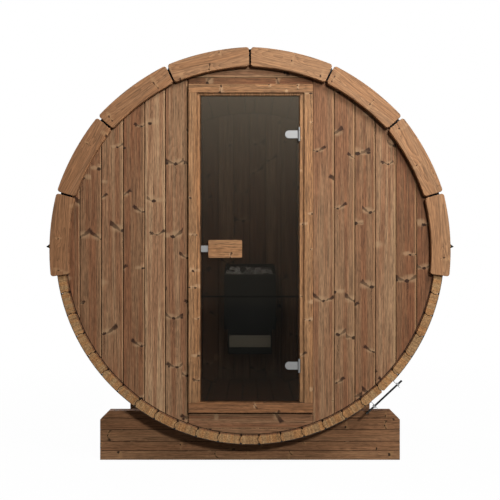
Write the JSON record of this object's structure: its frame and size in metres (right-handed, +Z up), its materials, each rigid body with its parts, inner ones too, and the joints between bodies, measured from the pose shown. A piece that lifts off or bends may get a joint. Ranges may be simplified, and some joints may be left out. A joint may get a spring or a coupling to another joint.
{
  "type": "barrel sauna",
  "caption": "Barrel-shaped outdoor sauna of wooden staves on two cradles, with flat end walls, a hinged glass door, a felt roof cover and a stone heater inside.",
  "frame": {"origin": "on the ground, under the middle of the overall box", "axes": "+Z up, the door faces -Y, +X to the right seen from the front"},
  "size_m": [2.094, 1.622, 2.1673],
  "materials": {
    "wood_stave": "planed, oiled",
    "wood_wall": "planed, oiled",
    "wood_trim": "planed, rounded edges",
    "wood_cradle": "planed",
    "wood_floor": "planed",
    "smoked_glass": "smoked, tempered",
    "satin_steel": "satin",
    "dark_steel": "plain",
    "heater_steel": "matt black",
    "heater_panel": "satin",
    "heater_stone": "rough split stone",
    "roof_felt": "mineral surfaced felt",
    "drip_edge": "matt black"
  },
  "bodies": {
    "root": {"staves_bottom": "wood_stave", "staves_top": "wood_stave", "staves_left_1": "wood_stave", "staves_left_2": "wood_stave", "staves_left_3": "wood_stave", "staves_left_4": "wood_stave", "staves_right_1": "wood_stave", "staves_right_2": "wood_stave", "staves_right_3": "wood_stave", "staves_right_4": "wood_stave", "front_wall_left": "wood_wall", "front_wall_right": "wood_wall", "front_wall_header": "wood_wall", "front_wall_lower": "wood_wall", "rear_wall": "wood_wall", "door_frame_left": "wood_trim", "door_frame_right": "wood_trim", "door_frame_head": "wood_trim", "door_sill": "wood_trim", "door_stops": "wood_trim", "front_fascia_left": "wood_trim", "front_fascia_right": "wood_trim", "rear_fascia_left": "wood_trim", "rear_fascia_right": "wood_trim", "front_cradle": "wood_cradle", "rear_cradle": "wood_cradle", "floor_boards": "wood_floor", "floor_bearers": "wood_floor", "hinge_pins": "satin_steel", "front_band": "dark_steel", "rear_band": "dark_steel", "front_tensioner": "dark_steel", "rear_tensioner": "dark_steel", "heater_body": "heater_steel", "heater_base": "heater_steel", "heater_bracket": "heater_steel", "heater_panel": "heater_panel", "heater_stones": "heater_stone", "roof_cover_left": "roof_felt", "roof_cover_right": "roof_felt", "roof_drip_edge_left": "drip_edge", "roof_drip_edge_right": "drip_edge"},
    "door": {"door_glass": "smoked_glass", "door_handle_outside": "wood_trim", "door_handle_inside": "wood_trim", "door_latch": "satin_steel", "hinge_tabs": "satin_steel"}
  },
  "joints": [
    {"name": "door_hinge", "type": "hinge", "parent": "root", "child": "door", "pos_m": [0.2537, -0.773, 1.13], "axis": [0, 0, 1], "range_deg": [0, 110]}
  ]
}
